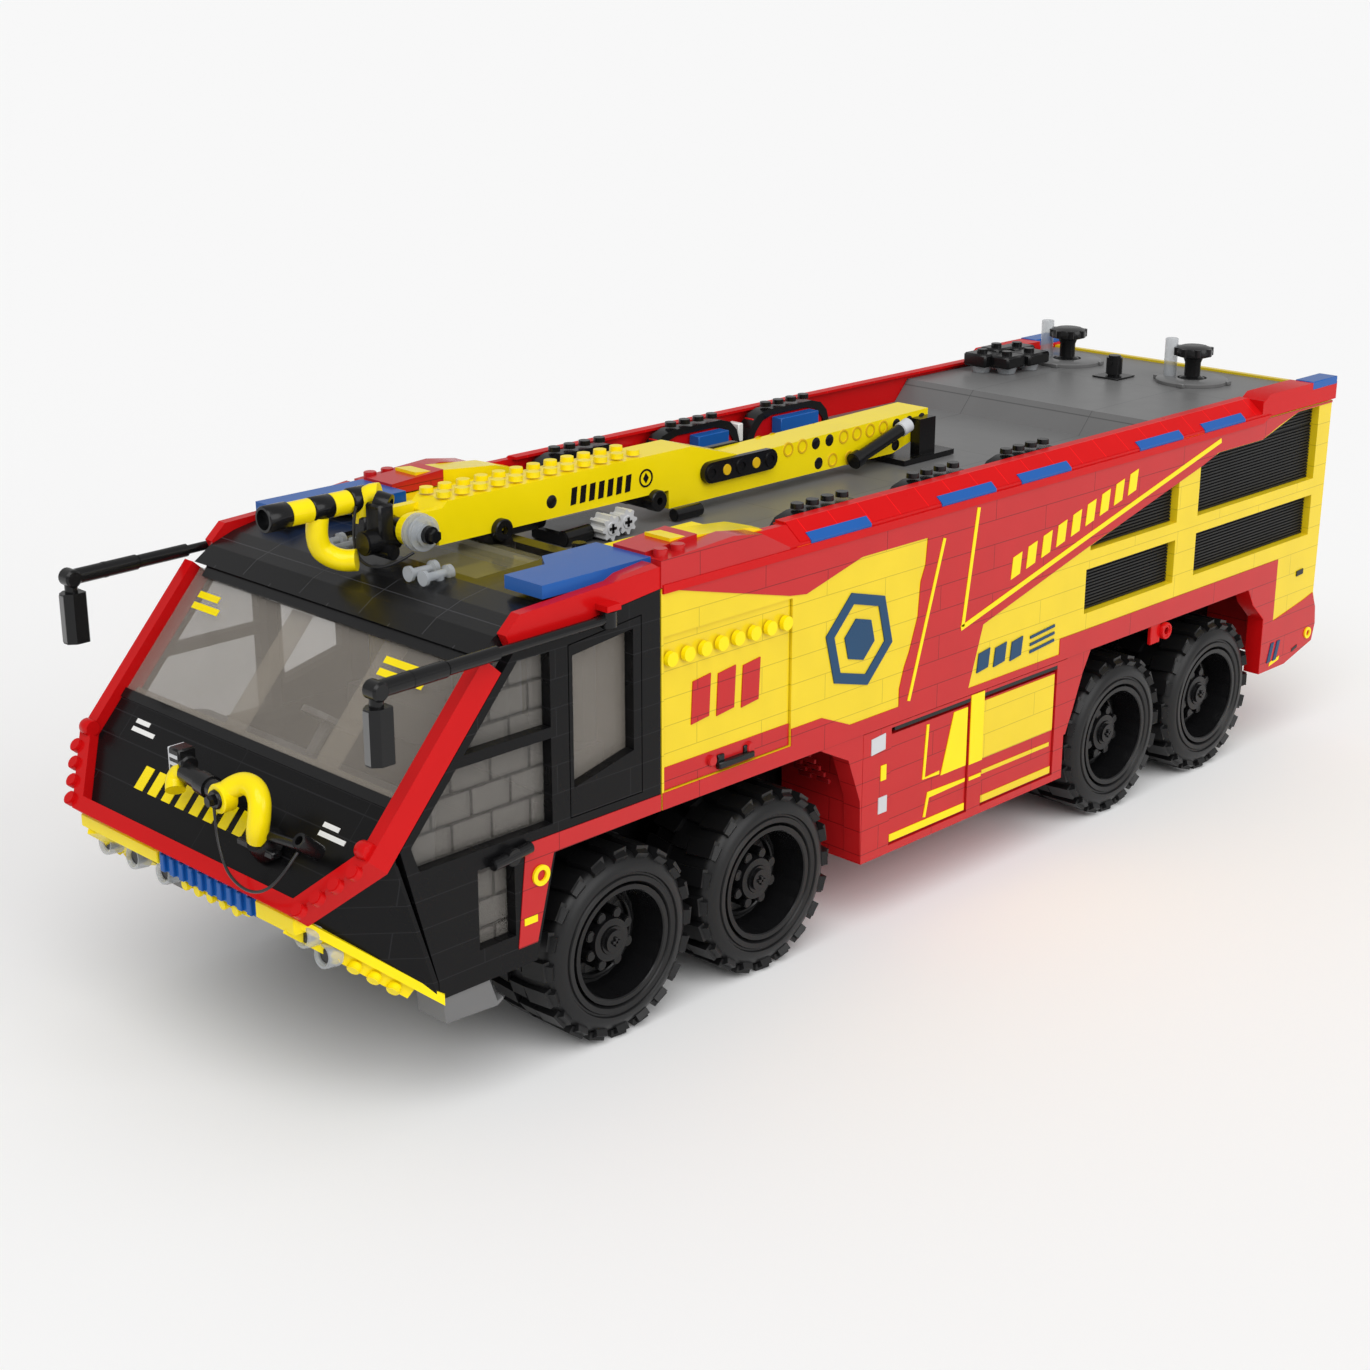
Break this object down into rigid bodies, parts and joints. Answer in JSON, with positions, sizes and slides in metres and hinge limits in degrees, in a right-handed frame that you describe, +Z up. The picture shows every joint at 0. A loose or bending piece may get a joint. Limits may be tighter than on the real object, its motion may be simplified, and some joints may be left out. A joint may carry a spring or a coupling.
{
  "type": "model airport fire truck",
  "caption": "Large brick-built model of an eight-wheeled airport fire truck with a raked glass cab, lockers that open, a lifting roof boom and two monitors.",
  "frame": {"origin": "on the ground, below the middle of the bounding box of everything but the free hoses", "axes": "+Z up, -Y the way the truck faces, +X its left side"},
  "size_m": [0.173, 0.57, 0.183],
  "materials": {
    "red_plastic": "moulded, glossy",
    "yellow_plastic": "moulded, glossy",
    "black_plastic": "moulded, glossy",
    "grey_plastic": "moulded, glossy",
    "blue_plastic": "moulded, clear blue",
    "smoked_plastic": "smoked transparent plastic",
    "clear_plastic": "clear transparent plastic",
    "hose_plastic": "flexible thin hose",
    "tyre_rubber": "soft rubber"
  },
  "bodies": {
    "truck": {"chassis_frame": "black_plastic", "cab_floor": "black_plastic", "cab_side_left": "black_plastic", "cab_side_right": "black_plastic", "side_window_left": "smoked_plastic", "side_window_right": "smoked_plastic", "front_frame": "red_plastic", "fascia": "black_plastic", "windscreen": "smoked_plastic", "nose": "black_plastic", "headlights": "clear_plastic", "cab_roof": "black_plastic", "roof_window": "smoked_plastic", "cab_seats": "grey_plastic", "dashboard": "grey_plastic", "body_side_left": "yellow_plastic", "body_side_right": "yellow_plastic", "grille_left": "black_plastic", "grille_right": "black_plastic", "skirt_left": "red_plastic", "skirt_right": "red_plastic", "roof_deck": "grey_plastic", "roof_edge_left": "red_plastic", "roof_edge_right": "red_plastic", "rear_panel": "yellow_plastic", "rear_bumper": "red_plastic", "roof_vent_left": "black_plastic", "roof_vent_right": "black_plastic", "beacon_left": "blue_plastic", "beacon_right": "blue_plastic", "boom_base": "black_plastic"},
    "wheelset_1": {"wheelset_1": "black_plastic", "tyre_1_left": "tyre_rubber", "tyre_1_right": "tyre_rubber"},
    "wheelset_2": {"wheelset_2": "black_plastic", "tyre_2_left": "tyre_rubber", "tyre_2_right": "tyre_rubber"},
    "wheelset_3": {"wheelset_3": "black_plastic", "tyre_3_left": "tyre_rubber", "tyre_3_right": "tyre_rubber"},
    "wheelset_4": {"wheelset_4": "black_plastic", "tyre_4_left": "tyre_rubber", "tyre_4_right": "tyre_rubber"},
    "door_left": {"cab_door_left": "black_plastic", "door_window_left": "smoked_plastic"},
    "door_right": {"cab_door_right": "black_plastic", "door_window_right": "smoked_plastic"},
    "side_locker_left": {"side_locker_left": "yellow_plastic"},
    "side_locker_right": {"side_locker_right": "yellow_plastic"},
    "front_flap_left": {"front_flap_left": "red_plastic"},
    "front_flap_right": {"front_flap_right": "red_plastic"},
    "rear_flap_left": {"rear_flap_left": "red_plastic"},
    "rear_flap_right": {"rear_flap_right": "red_plastic"},
    "boom": {"boom": "yellow_plastic"},
    "roof_monitor": {"roof_monitor": "black_plastic", "roof_monitor_hose": "hose_plastic"},
    "bumper_monitor": {"bumper_monitor": "black_plastic", "bumper_monitor_hose": "hose_plastic"},
    "mirror_left": {"mirror_left": "black_plastic"},
    "mirror_right": {"mirror_right": "black_plastic"}
  },
  "joints": [
    {"name": "wheelset_1_spin", "type": "hinge", "parent": "truck", "child": "wheelset_1", "pos_m": [0, -0.16185, 0.0344], "axis": [1, 0, 0], "continuous": true},
    {"name": "wheelset_2_spin", "type": "hinge", "parent": "truck", "child": "wheelset_2", "pos_m": [0, -0.08985, 0.0344], "axis": [1, 0, 0], "continuous": true},
    {"name": "wheelset_3_spin", "type": "hinge", "parent": "truck", "child": "wheelset_3", "pos_m": [0, 0.12615, 0.0344], "axis": [1, 0, 0], "continuous": true},
    {"name": "wheelset_4_spin", "type": "hinge", "parent": "truck", "child": "wheelset_4", "pos_m": [0, 0.19815, 0.0344], "axis": [1, 0, 0], "continuous": true},
    {"name": "door_left_hinge", "type": "hinge", "parent": "truck", "child": "door_left", "pos_m": [0.08, -0.18635, 0.088], "axis": [0, 0, -1], "range_deg": [0, 70]},
    {"name": "door_right_hinge", "type": "hinge", "parent": "truck", "child": "door_right", "pos_m": [-0.08, -0.18635, 0.088], "axis": [0, 0, 1], "range_deg": [0, 70]},
    {"name": "side_locker_left_hinge", "type": "hinge", "parent": "truck", "child": "side_locker_left", "pos_m": [0.079, 0, 0.139], "axis": [0, -1, 0], "range_deg": [0, 85]},
    {"name": "side_locker_right_hinge", "type": "hinge", "parent": "truck", "child": "side_locker_right", "pos_m": [-0.079, 0, 0.139], "axis": [0, 1, 0], "range_deg": [0, 85]},
    {"name": "front_flap_left_hinge", "type": "hinge", "parent": "truck", "child": "front_flap_left", "pos_m": [0.0792, 0, 0.0308], "axis": [0, 1, 0], "range_deg": [0, 90]},
    {"name": "front_flap_right_hinge", "type": "hinge", "parent": "truck", "child": "front_flap_right", "pos_m": [-0.0792, 0, 0.0308], "axis": [0, -1, 0], "range_deg": [0, 90]},
    {"name": "rear_flap_left_hinge", "type": "hinge", "parent": "truck", "child": "rear_flap_left", "pos_m": [0.0792, 0, 0.0308], "axis": [0, 1, 0], "range_deg": [0, 90]},
    {"name": "rear_flap_right_hinge", "type": "hinge", "parent": "truck", "child": "rear_flap_right", "pos_m": [-0.0792, 0, 0.0308], "axis": [0, -1, 0], "range_deg": [0, 90]},
    {"name": "boom_lift", "type": "hinge", "parent": "truck", "child": "boom", "pos_m": [0, 0.07365, 0.165], "axis": [-1, 0, 0], "range_deg": [0, 60]},
    {"name": "roof_monitor_tilt", "type": "hinge", "parent": "boom", "child": "roof_monitor", "pos_m": [0, -0.18835, 0.17], "axis": [-1, 0, 0], "range_deg": [0, 60]},
    {"name": "bumper_monitor_pan", "type": "hinge", "parent": "truck", "child": "bumper_monitor", "pos_m": [0.034, -0.27098, 0.092], "axis": [0, -0.7455, 0.6665], "range_deg": [-30, 30]},
    {"name": "mirror_left_fold", "type": "hinge", "parent": "truck", "child": "mirror_left", "pos_m": [0.083, -0.17185, 0.1524], "axis": [0, 0, 1], "range_deg": [0, 60]},
    {"name": "mirror_right_fold", "type": "hinge", "parent": "truck", "child": "mirror_right", "pos_m": [-0.083, -0.17185, 0.1524], "axis": [0, 0, -1], "range_deg": [0, 60]}
  ]
}
